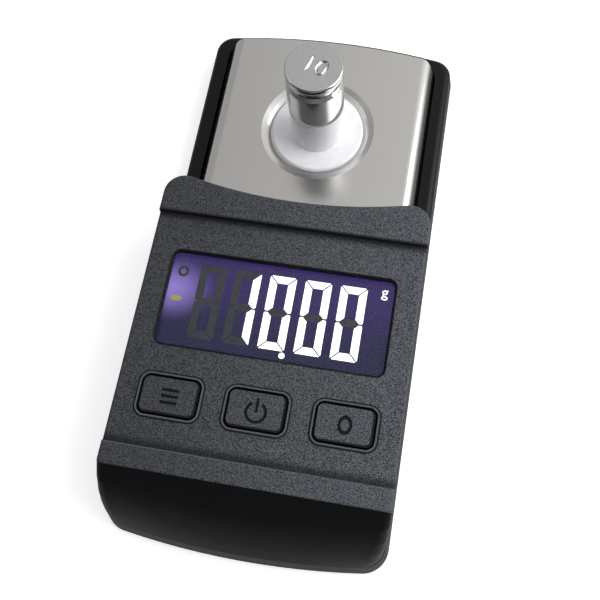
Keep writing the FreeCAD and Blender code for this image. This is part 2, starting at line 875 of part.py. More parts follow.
def make_gauge_leads():
    """Ribbon of leads from the beam's fixed end, along under the board and up to it."""
    y_rise = y_board_far - ribbon_setback
    z_run = (beam_bottom + beam_top - ribbon_thickness) / 2
    y_turn, z_turn = y_rise + ribbon_bend, z_run + ribbon_bend

    def side(radius):
        """One face of the ribbon, from the beam to the board."""
        k = radius * math.sqrt(0.5)
        ends = [(y_beam, z_turn - radius), (y_turn, z_turn - radius), (y_turn - k, z_turn - k),
                (y_turn - radius, z_turn), (y_turn - radius, board_bottom)]
        start, bend, middle, lift, end = (V(-ribbon_width / 2, y, z) for y, z in ends)
        return start, end, [line(start, bend), arc(bend, middle, lift), line(lift, end)]

    low, low_end, outside = side(ribbon_bend)
    high, high_end, inside = side(ribbon_bend - ribbon_thickness)
    outline = outside + [line(low_end, high_end)] + inside[::-1] + [line(high, low)]
    return Part.Face(Part.Wire(outline)).extrude(V(ribbon_width, 0, 0))


def support_edges():
    half = tray_half - support_side_inset
    return half, y_tray_front + support_front_inset, y_beam_end


def make_tray_support():
    """Plate under the tray with room for the dish, and the block that stands on the beam."""
    half, y0, y1 = support_edges()
    plate = slab(2 * half, y1 - y0, support_corner, support_bottom, support_top, 0, (y0 + y1) / 2)
    plate = plate.cut(rod(dish_step_radius + tray_sheet + support_hole_gap / 2, 0, length, 0, y_pedestal))
    block = box(-beam_width / 2, beam_width / 2, y1 - support_block, y1, beam_top, support_top)
    frame = join([plate, block])
    for x, y in beam_screw_places(y_beam_end - beam_end / 2):
        frame = frame.cut(rod(screw_radius + screw_gap, 0, length, x, y))
        frame = frame.cut(rod(screw_head_radius + screw_gap, support_bottom, length, x, y))
    return frame


def make_support_screws():
    z_head = support_bottom + screw_head_height
    reach = support_bottom - beam_bottom - screw_tip_gap
    spots = beam_screw_places(y_beam_end - beam_end / 2)
    return Part.makeCompound([screw(x, y, z_head, reach, -1) for x, y in spots])


def make_tray_pads():
    half, y0, y1 = support_edges()
    size = pad_size / 2
    spots = [(x, y) for x in (pad_inset - half, half - pad_inset) for y in (y0 + pad_inset, y1 - pad_inset)]
    return Part.makeCompound([box(x - size, x + size, y - size, y + size, support_top, tray_underside)
                              for x, y in spots])


def tray_flat_inset():
    """Distance from the tray's lower edge to where its flat top begins."""
    slope = math.radians(tray_slope)
    flank_height = tray_depth - tray_bend * (1 - math.cos(slope))
    return tray_bend * math.sin(slope) + flank_height / math.tan(slope)


def tray_flank(side):
    """Bend and sloping flank at one side of the folded sheet, all along the tray."""
    slope = math.radians(tray_slope)
    u = tray_flat_inset()
    low = tray_top - tray_depth

    def place(inset, z):
        return V(side * (tray_half - inset), y_tray_front, z)

    def skin(radius):
        """Upper or lower face of the sheet, from the flat top down."""
        tip, half_way, end = (place(u - radius * math.sin(a), tray_top - tray_bend + radius * math.cos(a))
                              for a in (0, slope / 2, slope))
        drop = end.z - low
        foot = place(u - radius * math.sin(slope) - drop / math.tan(slope), low)
        return tip, foot, [arc(tip, half_way, end), line(end, foot)]

    tip, foot, upper = skin(tray_bend)
    tip_in, foot_in, lower = skin(tray_bend - tray_sheet)
    section = Part.Wire(upper + [line(foot, foot_in)] + lower[::-1] + [line(tip_in, tip)])
    return Part.Face(section).extrude(V(0, y_tray_far - y_tray_front, 0))


def dish():
    """Stepped cup pressed into the tray, with a round hole for the pedestal's spigot."""
    sheet = tray_sheet
    upper = [(dish_radius, tray_top), (dish_step_radius, tray_top - dish_step_depth),
             (dish_floor_radius, dish_floor_z), (spigot_radius + spigot_gap, dish_floor_z)]
    lower = [(r + sheet * dish_flank_share, z - sheet) for r, z in upper[2:0:-1]]
    return spin(upper + [(spigot_radius + spigot_gap, dish_floor_z - sheet)] + lower
                + [(dish_radius, tray_underside)], 0, y_pedestal)


def make_weighing_tray():
    """Folded sheet cut to the tray's plan, with the dish pressed in."""
    flat_half = tray_half - tray_flat_inset()
    flat = box(-flat_half, flat_half, y_tray_front, y_tray_far, tray_underside, tray_top)
    plan = bowed_plan(tray_half, y_tray_front, y_tray_far, tray_corner, tray_corner, 0)
    sheet = join([flat, tray_flank(-1), tray_flank(1)]).common(prism(plan, length))
    return join([sheet.cut(rod(dish_radius, 0, length, 0, y_pedestal)), dish()])


def make_stylus_pedestal():
    """Disc and post, with a spigot through the tray and a small seat for the stylus tip."""
    spigot_z = dish_floor_z - spigot_length
    spigot = [(0, spigot_z), (spigot_radius, spigot_z), (spigot_radius, dish_floor_z)]
    disc_rim = [(disc_radius, disc_top - disc_edge), (disc_radius - disc_edge, disc_top)]
    post = [(post_radius, disc_top), (post_radius, post_top - post_edge), (post_radius - post_edge, post_top)]
    seat = [(tip_seat_radius, post_top), (0, post_top - tip_seat_radius / 2)]
    return spin(spigot + [(disc_radius, dish_floor_z)] + disc_rim + post + seat, 0, y_pedestal)


def make_calibration_weight():
    """Turned weight with a knob above its groove, by which tweezers lift it."""
    top = post_top + weight_height
    waist = weight_radius - weight_groove_depth
    groove_top = top - weight_flange
    groove_low = groove_top - weight_groove
    foot = [(0, post_top), (weight_radius - weight_chamfer, post_top)]
    body = [(weight_radius, post_top + weight_chamfer)]
    groove = [(weight_radius, groove_low), (waist, groove_low + weight_groove_depth),
              (waist, groove_top - weight_groove_depth), (weight_radius, groove_top)]
    knob = [(weight_radius, top - weight_edge), (weight_radius - weight_edge, top), (0, top)]
    return spin(foot + body + groove + knob, 0, y_pedestal)


def pieces():
    made = {
        "base_housing": make_base_housing(),
        "top_cover": make_top_cover(),
        "display_window": make_display_window(),
        "lcd_panel": make_lcd_panel(),
        "lcd_backlight": make_lcd_backlight(),
        "lcd_contact_strip": make_lcd_contact_strip(),
        "lcd_frame": make_lcd_frame(),
        "circuit_board": make_circuit_board(),
        "board_chips": make_board_chips(),
        "board_screws": make_board_screws(),
        "housing_screws": make_housing_screws(),
        "rubber_feet": make_rubber_feet(),
        "battery_door": make_battery_door(),
        "battery_cells": make_battery_cells(),
        "link_contact": make_link_contact(),
        "end_contacts": make_end_contacts(),
        "load_cell": make_load_cell(),
        "load_cell_screws": make_load_cell_screws(),
        "strain_gauges": make_strain_gauges(),
        "gauge_leads": make_gauge_leads(),
        "tray_support": make_tray_support(),
        "support_screws": make_support_screws(),
        "tray_pads": make_tray_pads(),
        "weighing_tray": make_weighing_tray(),
        "stylus_pedestal": make_stylus_pedestal(),
        "calibration_weight": make_calibration_weight(),
    }
    for name, x in key_places().items():
        made[name + "_key"] = make_key(x)
        made[name + "_switch"] = make_switch(x)
        made[name + "_plunger"] = make_plunger(x)
    return made


os.makedirs("parts", exist_ok=True)
for name, shape in pieces().items():
    shape.exportStep("parts/" + name + ".step")
    print(name, len(shape.Solids), "solids,", round(shape.Volume, 1), "mm3, valid", shape.isValid())
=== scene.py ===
# %% [markdown]
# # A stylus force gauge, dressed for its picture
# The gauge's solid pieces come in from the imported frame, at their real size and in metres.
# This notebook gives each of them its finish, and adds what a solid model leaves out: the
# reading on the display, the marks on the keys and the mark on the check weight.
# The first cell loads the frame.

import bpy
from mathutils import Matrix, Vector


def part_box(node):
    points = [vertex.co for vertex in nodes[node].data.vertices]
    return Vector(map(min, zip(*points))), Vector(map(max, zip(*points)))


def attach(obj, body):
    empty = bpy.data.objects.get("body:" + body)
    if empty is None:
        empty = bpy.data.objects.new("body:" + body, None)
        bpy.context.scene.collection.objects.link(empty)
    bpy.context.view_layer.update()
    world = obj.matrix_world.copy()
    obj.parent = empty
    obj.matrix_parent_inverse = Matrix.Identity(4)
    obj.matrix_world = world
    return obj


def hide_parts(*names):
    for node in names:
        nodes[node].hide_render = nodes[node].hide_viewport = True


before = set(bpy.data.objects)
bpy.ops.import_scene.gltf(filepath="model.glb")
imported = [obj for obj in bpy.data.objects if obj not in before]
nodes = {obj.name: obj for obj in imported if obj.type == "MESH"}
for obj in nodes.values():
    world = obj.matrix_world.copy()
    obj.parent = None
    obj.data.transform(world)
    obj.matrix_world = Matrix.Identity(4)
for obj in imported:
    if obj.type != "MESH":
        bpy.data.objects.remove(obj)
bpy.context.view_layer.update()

# %% Tools and units
import math

import bpy
from mathutils import Matrix, Vector

MM = 0.001

# %% [markdown]
# ## The camera
# The photograph was taken from above the keys with a normal lens, turned a little so that
# the gauge leans to the right. Three lines of the camera's own frame say that more exactly
# than a target point would: which way is right, which way is up, and where it stands.

# %% Camera
LENS_MM = 49.73
SENSOR_MM = 36.0
CAMERA_PLACE = Vector((20.26, -60.36, 162.97)) * MM
CAMERA_RIGHT = Vector((0.983734, 0.172368, -0.050574))
CAMERA_UP = Vector((-0.145419, 0.929435, 0.339122))

camera = bpy.data.objects.new("camera", bpy.data.cameras.new("camera"))
bpy.context.scene.collection.objects.link(camera)
camera.data.lens = LENS_MM
camera.data.sensor_width = SENSOR_MM
camera_back = CAMERA_RIGHT.cross(CAMERA_UP)
turn = Matrix((CAMERA_RIGHT, CAMERA_UP, camera_back)).transposed().to_4x4()
camera.matrix_world = Matrix.Translation(CAMERA_PLACE) @ turn
camera.data.clip_start = 0.01
bpy.context.scene.camera = camera
bpy.context.scene.view_settings.view_transform = "Standard"
print("camera looks along", tuple(round(-v, 3) for v in camera_back))

# %% [markdown]
# ## Softer edges on the moulded pieces
# A moulding has no razor edges: each one is broken by a tenth of a millimetre or so, and
# catches a thin line of light. The solids are exact and sharp there, and their apron is laid
# out in a few flat strips. A bump in the material could fake the rounding, but only real
# faces catch light from every side. So the cover gets a visual twin: its mesh is copied, the
# loose triangles are welded and flat faces are joined again, and a Bevel modifier rounds the
# edges. Weighted normals keep the large faces flat and let the apron's strips flow together.

# %% Selection helpers
def deselect_all():
    if bpy.context.object and bpy.context.object.mode != "OBJECT":
        bpy.ops.object.mode_set(mode="OBJECT")
    bpy.ops.object.select_all(action="DESELECT")


def make_active(piece):
    deselect_all()
    piece.select_set(True)
    bpy.context.view_layer.objects.active = piece


def join_pieces(pieces, name):
    make_active(pieces[0])
    for piece in pieces:
        piece.select_set(True)
    if len(pieces) > 1:
        bpy.ops.object.join()
    bpy.context.object.name = name
    return bpy.context.object

# %% Visual twins of moulded pieces
EDGE_BREAK = 0.11 * MM
WELD_REACH = 0.002 * MM
FLAT_ANGLE = math.radians(0.5)
SMOOTH_ANGLE = math.radians(38)


def weld_copy(name):
    """Copy of a node with its loose triangles welded and its flat faces joined again."""
    twin = nodes[name].copy()
    twin.data = nodes[name].data.copy()
    twin.name = "visual_" + name
    bpy.context.scene.collection.objects.link(twin)
    make_active(twin)
    bpy.ops.object.mode_set(mode="EDIT")
    bpy.ops.mesh.select_all(action="SELECT")
    bpy.ops.mesh.remove_doubles(threshold=WELD_REACH)
    bpy.ops.mesh.select_all(action="SELECT")
    bpy.ops.mesh.dissolve_limited(angle_limit=FLAT_ANGLE)
    bpy.ops.object.mode_set(mode="OBJECT")
    return twin


def break_edges(twin, width, degrees=35):
    """Bevels every edge that turns by more than the angle."""
    make_active(twin)
    bpy.ops.object.modifier_add(type="BEVEL")
    bevel = twin.modifiers[-1]
    bevel.width = width
    bevel.segments = 2
    bevel.limit_method = "ANGLE"
    bevel.angle_limit = math.radians(degrees)
    bpy.ops.object.modifier_apply(modifier=bevel.name)


def engrave(twin, cutter):
    """Takes the cutter's shape out of the twin, and removes the cutter."""
    make_active(twin)
    bpy.ops.object.modifier_add(type="BOOLEAN")
    cut = twin.modifiers[-1]
    cut.operation = "DIFFERENCE"
    cut.solver = "EXACT"
    cut.object = cutter
    before = len(twin.data.polygons)
    bpy.ops.object.modifier_apply(modifier=cut.name)
    bpy.data.objects.remove(cutter)
    print(twin.name, "engraved:", before, "->", len(twin.data.polygons), "faces")


def stand_in(twin, name, body):
    """Smooths the twin's curved faces and lets it stand for its node."""
    make_active(twin)
    bpy.ops.object.shade_smooth_by_angle(angle=SMOOTH_ANGLE)
    bpy.ops.object.modifier_add(type="WEIGHTED_NORMAL")
    twin.modifiers[-1].keep_sharp = True
    bpy.ops.object.modifier_apply(modifier=twin.modifiers[-1].name)
    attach(twin, body)
    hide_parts(name)
    print(twin.name, "stands for", name, "with", len(twin.data.polygons), "faces")
    return twin


cover = weld_copy("top_cover")
break_edges(cover, EDGE_BREAK)
stand_in(cover, "top_cover", "housing")

# %% [markdown]
# ## Marks sunk into the keys
# Each key carries a plain mark that the mould sinks into its face: three short bars, the
# common on-off sign, and a zero. They could be flat plates of darker colour, but a sunk line
# has walls that shade it from any side. A cutter is modelled for each mark, and a Boolean
# takes it out of the key's twin. The bars are rounded blocks. The rings start as a disc that
# is inset, opened and pulled down to a wall.

# %% Cutters for the marks
MARK_DEPTH = 0.22 * MM
MARK_LINE = 0.54 * MM
CUTTER_EDGE = 0.1 * MM
RING_SIDES = 48


def finish_cutter(name):
    cutter = bpy.context.object
    cutter.name = name
    make_active(cutter)
    bpy.ops.object.transform_apply(location=True, rotation=True, scale=True)
    return cutter


def bar_cutter(x, y, z, width, height):
    deselect_all()
    bpy.ops.mesh.primitive_cube_add(size=1.0, location=(x, y, z))
    bpy.context.object.scale = (width, height, 2 * MARK_DEPTH)
    cutter = finish_cutter("bar_cutter")
    bpy.ops.object.mode_set(mode="EDIT")
    bpy.ops.mesh.select_all(action="SELECT")
    bpy.ops.mesh.bevel(offset=CUTTER_EDGE, segments=2, affect="EDGES")
    bpy.ops.object.mode_set(mode="OBJECT")
    return cutter


def ring_cutter(x, y, z, radius, stretch=1.0, opening=0.0):
    """Ring wall; opening is the half angle, in radians, that stays uncut at its far side."""
    deselect_all()
    bpy.ops.mesh.primitive_circle_add(vertices=RING_SIDES, radius=radius, fill_type="NGON",
                                      location=(x, y, z))
    bpy.ops.object.mode_set(mode="EDIT")
    bpy.ops.mesh.select_mode(type="FACE")
    bpy.ops.mesh.select_all(action="SELECT")
    bpy.ops.mesh.inset(thickness=MARK_LINE, depth=0.0)
    bpy.ops.mesh.delete(type="FACE")
    bpy.ops.object.mode_set(mode="OBJECT")
    ring = bpy.context.object
    for face in ring.data.polygons:
        face.select = abs(math.atan2(face.center.x, face.center.y)) < opening
    bpy.ops.object.mode_set(mode="EDIT")
    bpy.ops.mesh.delete(type="FACE")
    bpy.ops.mesh.select_all(action="SELECT")
    bpy.ops.transform.translate(value=(0, 0, MARK_DEPTH))
    bpy.ops.mesh.extrude_region_move(TRANSFORM_OT_translate={"value": (0, 0, -2 * MARK_DEPTH)})
    bpy.ops.mesh.select_all(action="SELECT")
    bpy.ops.mesh.normals_make_consistent(inside=False)
    bpy.ops.object.mode_set(mode="OBJECT")
    ring.scale = (1.0, stretch, 1.0)
    return finish_cutter("ring_cutter")

# %% Marked keys
KEY_EDGE = 0.18 * MM
KEY_EDGE_DEGREES = 60


def marked_key(name, body, make_cutters):
    low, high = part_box(name)
    x, y, z = (low.x + high.x) / 2, (low.y + high.y) / 2, high.z
    twin = weld_copy(name)
    break_edges(twin, KEY_EDGE, KEY_EDGE_DEGREES)
    for cutter in make_cutters(x, y, z):
        engrave(twin, cutter)
    return stand_in(twin, name, body)


def mode_marks(x, y, z):
    """Three short bars, one above the other."""
    return [bar_cutter(x, y + step * MM, z, 3.2 * MM, MARK_LINE) for step in (1.15, 0.0, -1.15)]


def power_marks(x, y, z):
    """Open ring with a bar in its opening."""
    ring = ring_cutter(x, y - 0.3 * MM, z, 2.05 * MM, opening=math.radians(30))
    return [ring, bar_cutter(x, y + 1.05 * MM, z, MARK_LINE, 2.6 * MM)]


def tare_marks(x, y, z):
    """A zero."""
    return [ring_cutter(x, y, z, 1.3 * MM, stretch=1.35)]


marked_keys = [
    marked_key("mode_key", "mode_button", mode_marks),
    marked_key("power_key", "power_button", power_marks),
    marked_key("tare_key", "tare_button", tare_marks),
]

# %% [markdown]
# ## The number on the check weight
# The weight's value is cut into its polished top, where only its walls show, as thin glints.
# A text object is made a mesh, pulled to a block, and taken out of the weight's twin, so the
# number has those walls.

# %% Marked weight
NUMBER_HEIGHT = 3.5 * MM
NUMBER_TURN = math.radians(-17)
NUMBER_X = 0.3 * MM
NUMBER_DEPTH = 0.25 * MM
FIGURE_SHARE = 0.7  # height of a figure in a font of size 1


def number_cutter(text, x, y, z):
    deselect_all()
    bpy.ops.object.text_add(location=(0, 0, 0))
    words = bpy.context.object
    words.data.body = text
    words.data.align_x = "CENTER"
    words.data.align_y = "CENTER"
    words.data.size = NUMBER_HEIGHT / FIGURE_SHARE
    words.data.extrude = NUMBER_DEPTH
    words.data.offset = 0.07 * MM
    words.data.resolution_u = 6
    bpy.ops.object.convert(target="MESH")
    cutter = bpy.context.object
    make_active(cutter)
    bpy.ops.object.mode_set(mode="EDIT")
    bpy.ops.mesh.select_all(action="SELECT")
    bpy.ops.mesh.remove_doubles(threshold=0.001 * MM)
    bpy.ops.mesh.normals_make_consistent(inside=False)
    bpy.ops.object.mode_set(mode="OBJECT")
    cutter.location = (x, y, z)
    cutter.rotation_euler = (0, 0, NUMBER_TURN)
    return finish_cutter("number_cutter")


weight_low, weight_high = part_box("calibration_weight")
weight_y = (weight_low.y + weight_high.y) / 2
weight_twin = weld_copy("calibration_weight")
break_edges(weight_twin, 0.06 * MM)
engrave(weight_twin, number_cutter("10", NUMBER_X, weight_y, weight_high.z))
stand_in(weight_twin, "calibration_weight", "weight")

# %% [markdown]
# ## Node helpers
# Every finish below is a small graph of shader nodes. These helpers place a node, set its
# sockets and link it, so that a material's cell reads as a list of what the surface has.

# %% Helpers for materials
def new_material(name):
    material = bpy.data.materials.new(name)
    material.use_nodes = True
    tree = material.node_tree
    return material, tree, tree.nodes["Principled BSDF"]


def add(tree, kind, **inputs):
    node = tree.nodes.new(kind)
    for key, value in inputs.items():
        node.inputs[key.replace("_", " ")].default_value = value
    return node


def object_place(tree):
    return tree.nodes.new("ShaderNodeTexCoord").outputs["Object"]


def paint(material, *pieces):
    for piece in pieces:
        piece = nodes.get(piece, piece)
        piece.data.materials.clear()
        piece.data.materials.append(material)
    print(material.name, "on", len(pieces), "pieces")

# %% [markdown]
# ## One grain for every moulded surface
# Moulded plastic shows the texture of its mould: a fine field of pits, like very fine
# leather. One node group makes it from a noise. It gives a height for the bump and a tone
# that darkens the pits, and each material places it with its own size.

# %% Grain group
def make_grain_group():
    group = bpy.data.node_groups.new("mould_grain", "ShaderNodeTree")
    face = group.interface
    face.new_socket("Place", in_out="INPUT", socket_type="NodeSocketVector")
    face.new_socket("Scale", in_out="INPUT", socket_type="NodeSocketFloat")
    face.new_socket("Height", in_out="OUTPUT", socket_type="NodeSocketFloat")
    face.new_socket("Tone", in_out="OUTPUT", socket_type="NodeSocketFloat")
    entry = group.nodes.new("NodeGroupInput")
    leave = group.nodes.new("NodeGroupOutput")
    noise = add(group, "ShaderNodeTexNoise", Detail=2.0, Roughness=0.6)
    ramp = group.nodes.new("ShaderNodeMapRange")
    ramp.inputs["From Min"].default_value = 0.35
    ramp.inputs["From Max"].default_value = 0.65
    group.links.new(entry.outputs["Place"], noise.inputs["Vector"])
    group.links.new(entry.outputs["Scale"], noise.inputs["Scale"])
    group.links.new(noise.outputs["Fac"], ramp.inputs["Value"])
    group.links.new(ramp.outputs["Result"], leave.inputs["Height"])
    group.links.new(ramp.outputs["Result"], leave.inputs["Tone"])
    return group


mould_grain = make_grain_group()
print("grain group has", len(mould_grain.nodes), "nodes")

# %% Use of the grain group
def add_grain(tree, scale):
    grain = tree.nodes.new("ShaderNodeGroup")
    grain.node_tree = mould_grain
    grain.inputs["Scale"].default_value = scale
    tree.links.new(object_place(tree), grain.inputs["Place"])
    return grain


def two_tones(tree, share, dark, light):
    mix = tree.nodes.new("ShaderNodeMix")
    mix.data_type = "RGBA"
    mix.inputs["A"].default_value = (*dark, 1)
    mix.inputs["B"].default_value = (*light, 1)
    tree.links.new(share, mix.inputs["Factor"])
    return mix.outputs["Result"]


def bump(tree, shader, height, distance):
    node = add(tree, "ShaderNodeBump", Distance=distance)
    tree.links.new(height, node.inputs["Height"])
    tree.links.new(node.outputs["Normal"], shader.inputs["Normal"])

# %% [markdown]
# ## Masks drawn from places
# Where a finish changes, and where shade or a highlight is painted into a colour, is a matter
# of place on the gauge: a height, or a distance to a key or to the window. Such a mask could
# be painted as a picture, but a few Math nodes on Object coordinates give a crisp edge at any
# size and need no image.

# %% Small node steps
def step_math(tree, operation, *values):
    """Math node; each value is a number or a socket."""
    node = tree.nodes.new("ShaderNodeMath")
    node.operation = operation
    for slot, value in zip(node.inputs, values):
        if isinstance(value, (int, float)):
            slot.default_value = value
        else:
            tree.links.new(value, slot)
    return node.outputs["Value"]


def ramp_between(tree, value, start, end, low=0.0, high=1.0):
    """Smooth change from low to high as the value goes from start to end."""
    node = tree.nodes.new("ShaderNodeMapRange")
    node.interpolation_type = "SMOOTHSTEP"
    node.inputs["From Min"].default_value = start
    node.inputs["From Max"].default_value = end
    node.inputs["To Min"].default_value = low
    node.inputs["To Max"].default_value = high
    tree.links.new(value, node.inputs["Value"])
    return node.outputs["Result"]


def band_mask(tree, value, centre, half, soft):
    """1 within half of the centre, and 0 from half + soft on."""
    away = step_math(tree, "ABSOLUTE", step_math(tree, "SUBTRACT", value, centre))
    return ramp_between(tree, away, half, half + soft, 1.0, 0.0)


def outline_distance(tree, beside, along, half_sizes, corner):
    """Distance outside a rounded rectangle, in metres, from offsets to its centre."""
    beyond = []
    for offset, half in zip((beside, along), half_sizes):
        edge = step_math(tree, "SUBTRACT", step_math(tree, "ABSOLUTE", offset), half - corner)
        beyond.append(step_math(tree, "POWER", step_math(tree, "MAXIMUM", edge, 0.0), 2.0))
    reach = step_math(tree, "SQRT", step_math(tree, "ADD", *beyond))
    return step_math(tree, "SUBTRACT", reach, corner)

# %% Distance to the nearest key
power_low, power_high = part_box("power_key")
tare_low, tare_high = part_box("tare_key")
KEY_PITCH = (tare_low.x + tare_high.x - power_low.x - power_high.x) / 2
KEY_X = (power_low.x + power_high.x) / 2
KEY_Y = (power_low.y + power_high.y) / 2
KEY_HALF = (5.25 * MM, 3.45 * MM)
KEY_CORNER = 1.3 * MM
print("keys every", round(KEY_PITCH / MM, 2), "mm")


def key_distance(tree, place, right=0.0, back=0.0):
    """Distance outside the nearest key's cap; the three keys are one outline, repeated."""
    beside = step_math(tree, "SUBTRACT", place.outputs["X"], KEY_X + right)
    beside = step_math(tree, "WRAP", beside, -KEY_PITCH / 2, KEY_PITCH / 2)
    along = step_math(tree, "SUBTRACT", place.outputs["Y"], KEY_Y + back)
    return outline_distance(tree, beside, along, KEY_HALF, KEY_CORNER)

# %% [markdown]
# ## The housing's plastic
# The cover is one moulding with two finishes: the top faces carry a spark-eroded grain, and
# the apron and sides are smooth and look darker. The grain is above the panel's level and
# behind the band's front edge. Shade is painted into the colour as a dark tone around each
# key and at its cap's edge, along the window's mouth, and where the panel runs down before a
# step. Highlights are painted as a paler tone on the keys' lips and the band's far edge, and
# the grain is painted lighter towards the right, on the side of the large lamp.

# %% Places of painted shade and painted highlights
BAND_EDGE_Y = -41.6 * MM
HEAD_STEP_Y = 3.6 * MM
WINDOW_CENTRE_Y = -13.2 * MM
WINDOW_HALF = (21.1 * MM, 9.15 * MM)
WINDOW_CORNER = 1.4 * MM


def key_masks(tree, place):
    """Painted shade around each key and at its cap's edge, and the painted highlight on the lip
    between them.
    """
    away = key_distance(tree, place)
    beside = step_math(tree, "SUBTRACT", place.outputs["X"], KEY_X)
    beside = step_math(tree, "ABSOLUTE", beside)
    near_keys = ramp_between(tree, beside, 1.49 * KEY_PITCH, 1.5 * KEY_PITCH, 1.0, 0.0)
    # painted shade: a dark line where the raised ring round each key meets the panel
    key_shade = band_mask(tree, away, 0.78 * MM, 0.10 * MM, 0.10 * MM)
    key_shade = step_math(tree, "MULTIPLY", near_keys, key_shade)
    # painted highlight: a paler line on the top of the ring round each key
    lip_highlight = band_mask(tree, away, 0.50 * MM, 0.12 * MM, 0.06 * MM)
    lip_highlight = step_math(tree, "MULTIPLY", near_keys, lip_highlight)
    # painted shade: a dark rim inside each cap's edge, which widens the shaded gap round the key
    inside = key_distance(tree, place, -0.16 * MM, 0.14 * MM)
    cap_edge_shade = ramp_between(tree, inside, -0.42 * MM, -0.28 * MM)
    within_gap = ramp_between(tree, away, 0.16 * MM, 0.20 * MM, 1.0, 0.0)
    cap_edge_shade = step_math(tree, "MULTIPLY", cap_edge_shade, within_gap)
    return step_math(tree, "MAXIMUM", key_shade, cap_edge_shade), lip_highlight


def window_mouth_shade(tree, place):
    """Painted shade along the mouth of the display's opening."""
    along = step_math(tree, "SUBTRACT", place.outputs["Y"], WINDOW_CENTRE_Y)
    away = outline_distance(tree, place.outputs["X"], along, WINDOW_HALF, WINDOW_CORNER)
    # painted shade: a dark tone within about half a millimetre of the opening's outline
    return ramp_between(tree, away, 0.35 * MM, 0.62 * MM, 1.0, 0.0)


def step_masks(tree, place):
    """Share of grain colour left against the painted shade before the two steps, and the painted
    highlight along the band's far edge.
    """
    # painted shade: the grain colour fades to dark just behind the band and just before the
    # head's step
    behind_band = step_math(tree, "SUBTRACT", place.outputs["Y"], BAND_EDGE_Y)
    by_band = ramp_between(tree, behind_band, 0.5 * MM, 2.1 * MM)
    on_band = ramp_between(tree, behind_band, 0.0, -0.05 * MM)
    before_head = step_math(tree, "SUBTRACT", HEAD_STEP_Y, place.outputs["Y"])
    by_head = ramp_between(tree, before_head, 0.3 * MM, 1.7 * MM)
    on_head = ramp_between(tree, before_head, -0.25 * MM, -0.45 * MM)
    clear_of_step_shade = step_math(tree, "MULTIPLY", step_math(tree, "MAXIMUM", by_band, on_band),
                        step_math(tree, "MAXIMUM", by_head, on_head))
    # painted highlight: a pale line along the band's far edge
    band_edge_highlight = band_mask(tree, behind_band, -0.12 * MM, 0.06 * MM, 0.08 * MM)
    return clear_of_step_shade, step_math(tree, "MULTIPLY", band_edge_highlight, 0.8)

# %% Housing plastic
PANEL_Z = 18.6 * MM
BAND_FRONT_Y = -45.5 * MM
GRAIN_SCALE = 5600.0
GRAIN_DEPTH = 0.06 * MM
GRAIN_DARK = (0.002, 0.0024, 0.0032)
GRAIN_LIGHT = (0.122, 0.131, 0.149)
# dark colour of the smooth apron, also used for the painted shade round keys, window and steps
SMOOTH_AND_PAINTED_SHADE = (0.004, 0.0044, 0.005)
# pale colour of the painted highlights on the keys' lips and the band's far edge
PAINTED_HIGHLIGHT = (0.100, 0.106, 0.118)
# at its darkest, the painted shade before a step keeps this share of the grain colour
STEP_SHADE_KEEP = 0.25  # share of grain that the darkest place before a step keeps
# painted light: the grain's tone is scaled from darker on the left to lighter on the right
SIDE_LIGHT_FROM, SIDE_LIGHT_TO = 0.72, 1.30


def blend_colours(tree, share, first, second):
    """Mix of two colours; each is three numbers or a socket."""
    mix = tree.nodes.new("ShaderNodeMix")
    mix.data_type = "RGBA"
    tree.links.new(share, mix.inputs["Factor"])
    for slot, colour in (("A", first), ("B", second)):
        if isinstance(colour, tuple):
            mix.inputs[slot].default_value = (*colour, 1)
        else:
            tree.links.new(colour, mix.inputs[slot])
    return mix.outputs["Result"]


def make_housing_plastic(name, grain_from):
    """Plastic with grain above the given height and smooth below it, with painted shade and
    highlights.
    """
    material, tree, shader = new_material(name)
    grain = add_grain(tree, GRAIN_SCALE)
    place = tree.nodes.new("ShaderNodeSeparateXYZ")
    tree.links.new(object_place(tree), place.inputs["Vector"])
    above = ramp_between(tree, place.outputs["Z"], grain_from, grain_from + 0.12 * MM)
    behind = ramp_between(tree, place.outputs["Y"], BAND_FRONT_Y - 0.15 * MM, BAND_FRONT_Y)
    level = step_math(tree, "MULTIPLY", above, behind)
    # painted shade round the keys, at their caps' edges and along the window's mouth, and a
    # painted highlight on the keys' lips
    key_shade, lip_highlight = key_masks(tree, place)
    painted_shade = step_math(tree, "MAXIMUM", key_shade, window_mouth_shade(tree, place))
    clear_of_step_shade, band_edge_highlight = step_masks(tree, place)
    keep = step_math(tree, "MULTIPLY", level, step_math(tree, "SUBTRACT", 1.0, painted_shade))
    # painted shade before the steps darkens the grain colour down to that share
    clear_of_step_shade = step_math(tree, "MULTIPLY", clear_of_step_shade, 1.0 - STEP_SHADE_KEEP)
    keep = step_math(tree, "MULTIPLY", keep, step_math(tree, "ADD", STEP_SHADE_KEEP, clear_of_step_shade))
    # painted light: grain darker on the left and lighter on the right, on the side of the large
    # lamp
    side_light = ramp_between(tree, place.outputs["X"], -26 * MM, 26 * MM, SIDE_LIGHT_FROM, SIDE_LIGHT_TO)
    tone = step_math(tree, "MULTIPLY", grain.outputs["Tone"], side_light)
    grain_colour = blend_colours(tree, tone, GRAIN_DARK, GRAIN_LIGHT)
    grain_colour.node.clamp_factor = False
    # on the smooth apron and where painted shade falls, the colour turns to the dark one
    colour = blend_colours(tree, keep, SMOOTH_AND_PAINTED_SHADE, grain_colour)
    # painted highlights: paler on the keys' lips and along the band's far edge
    highlight_share = step_math(tree, "MULTIPLY", step_math(tree, "MAXIMUM", lip_highlight, band_edge_highlight), level)
    tree.links.new(blend_colours(tree, highlight_share, colour, PAINTED_HIGHLIGHT), shader.inputs["Base Color"])
    shader.inputs["Specular IOR Level"].default_value = 0.18
    tree.links.new(ramp_between(tree, level, 0.0, 1.0, 0.36, 0.52), shader.inputs["Roughness"])
    height = step_math(tree, "MULTIPLY", grain.outputs["Height"], level)
    bump(tree, shader, height, GRAIN_DEPTH)
    return material


